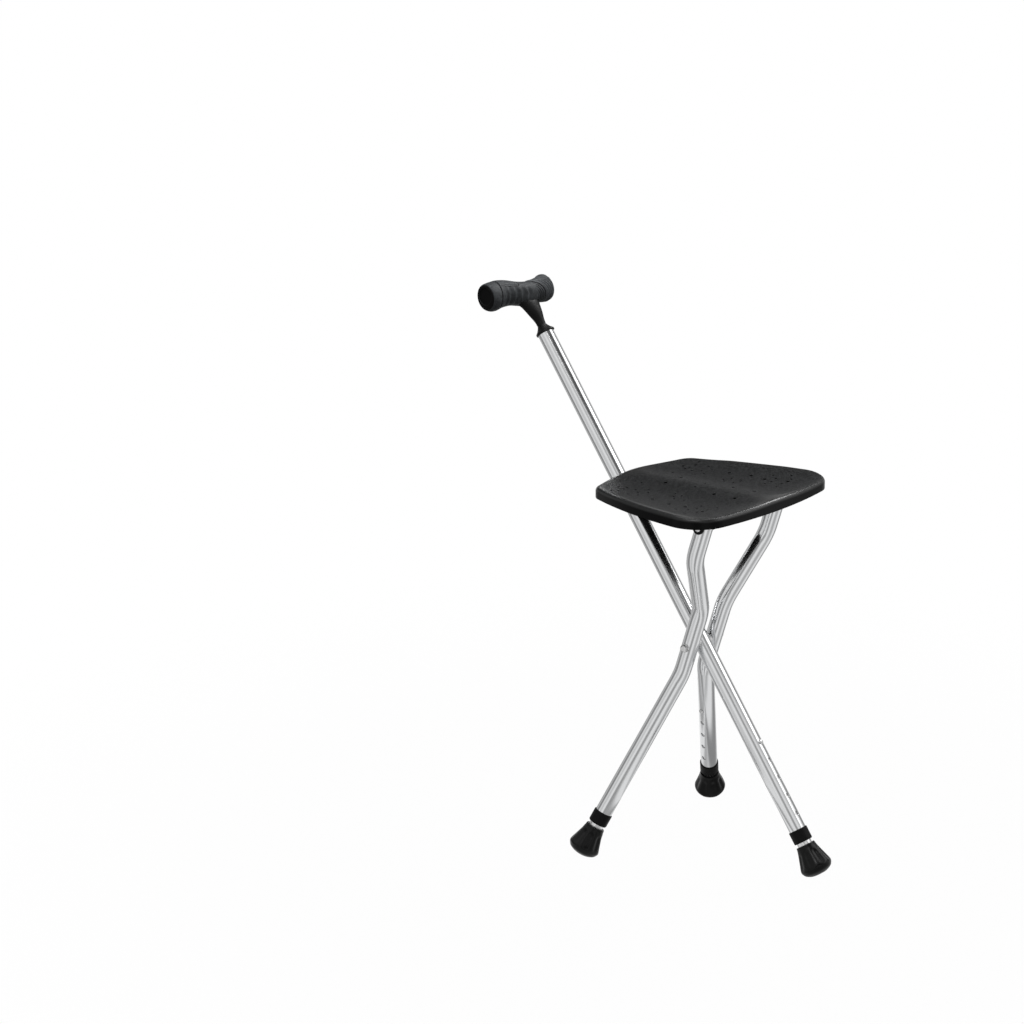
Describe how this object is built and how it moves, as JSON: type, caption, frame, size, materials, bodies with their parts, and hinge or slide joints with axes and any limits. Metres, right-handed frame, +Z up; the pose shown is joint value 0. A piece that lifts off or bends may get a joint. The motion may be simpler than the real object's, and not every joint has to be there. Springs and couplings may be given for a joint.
{
  "type": "walking stick seat",
  "caption": "Folding walking stick that opens into a tripod stool: bright tubes crossing at a bolt, black perforated seat, T handle, telescoping legs with rubber feet.",
  "frame": {"origin": "on the floor under the middle of the opened stool, halfway along its length and width", "axes": "+Z up; +X from the left leg to the right leg, towards the horn of the handle; -Y towards the sitter's front, +Y towards the handle"},
  "size_m": [0.3074, 0.5123, 0.7138],
  "materials": {
    "polished_tube": "bright anodised",
    "inner_tube": "satin anodised",
    "bright_metal": "polished",
    "plain_steel": "plain",
    "black_steel": "black semi-gloss",
    "seat_plastic": "fine grain with a glossy rim",
    "black_plastic": "semi-gloss",
    "grip_plastic": "semi-gloss",
    "grip_rubber": "matte charcoal",
    "foot_rubber": "semi-gloss black"
  },
  "bodies": {
    "shaft": {"main_tube": "polished_tube", "main_collar": "black_plastic", "handle_collar": "black_plastic", "tube_top_plug": "black_plastic", "handle_grip": "grip_rubber", "handle_horn": "grip_plastic", "grip_end_cap": "grip_plastic", "handle_screw": "plain_steel", "pivot_bolt": "bright_metal", "pivot_cap_nut": "bright_metal", "left_pivot_spacer": "bright_metal", "right_pivot_spacer": "bright_metal"},
    "legs": {"left_leg_tube": "polished_tube", "right_leg_tube": "polished_tube", "left_collar": "black_plastic", "right_collar": "black_plastic", "left_leg_top_plug": "black_plastic", "right_leg_top_plug": "black_plastic", "left_outer_washer": "bright_metal", "right_outer_washer": "bright_metal"},
    "seat": {"seat_shell": "seat_plastic", "left_hinge_bracket": "black_plastic", "right_hinge_bracket": "black_plastic", "left_hinge_pin": "bright_metal", "right_hinge_pin": "bright_metal", "bracket_screws": "plain_steel", "seat_catch": "black_steel", "catch_clamps": "black_plastic", "clamp_screws": "plain_steel"},
    "main_extension": {"main_inner_tube": "inner_tube", "main_foot": "foot_rubber", "main_foot_plate": "plain_steel", "main_button_spring": "plain_steel"},
    "main_button": {"main_snap_button": "bright_metal"},
    "left_extension": {"left_inner_tube": "inner_tube", "left_foot": "foot_rubber", "left_foot_plate": "plain_steel", "left_button_spring": "plain_steel"},
    "left_button": {"left_snap_button": "bright_metal"},
    "right_extension": {"right_inner_tube": "inner_tube", "right_foot": "foot_rubber", "right_foot_plate": "plain_steel", "right_button_spring": "plain_steel"},
    "right_button": {"right_snap_button": "bright_metal"}
  },
  "joints": [
    {"name": "leg_fold", "type": "hinge", "parent": "shaft", "child": "legs", "pos_m": [0, -0.05418, 0.27381], "axis": [-1, 0, 0], "range_deg": [0, 53]},
    {"name": "seat_fold", "type": "hinge", "parent": "legs", "child": "seat", "pos_m": [0, -0.11289, 0.45451], "axis": [1, 0, 0], "range_deg": [0, 108]},
    {"name": "main_extension_slide", "type": "slide", "parent": "shaft", "child": "main_extension", "axis": [0, -0.5736, -0.8192], "range_m": [0, 0.1], "deforming": ["main_snap_button"]},
    {"name": "main_button_press", "type": "slide", "parent": "main_extension", "child": "main_button", "axis": [0, 0.8192, -0.5736], "range_m": [0, 0.0038], "stiffness_N_per_m": 800, "springref_m": -0.002, "deforming": ["main_button_spring"]},
    {"name": "left_extension_slide", "type": "slide", "parent": "legs", "child": "left_extension", "axis": [-0.4274, 0.2794, -0.8598], "range_m": [0, 0.1], "deforming": ["left_snap_button"]},
    {"name": "left_button_press", "type": "slide", "parent": "left_extension", "child": "left_button", "axis": [-0.9041, -0.1321, 0.4064], "range_m": [0, 0.0038], "stiffness_N_per_m": 800, "springref_m": -0.002, "deforming": ["left_button_spring"]},
    {"name": "right_extension_slide", "type": "slide", "parent": "legs", "child": "right_extension", "axis": [0.4274, 0.2794, -0.8598], "range_m": [0, 0.1], "deforming": ["right_snap_button"]},
    {"name": "right_button_press", "type": "slide", "parent": "right_extension", "child": "right_button", "axis": [0.9041, -0.1321, 0.4064], "range_m": [0, 0.0038], "stiffness_N_per_m": 800, "springref_m": -0.002, "deforming": ["right_button_spring"]}
  ],
  "couplings": [
    {"joint": "seat_fold", "follows": "leg_fold", "ratio": 2.0377}
  ]
}
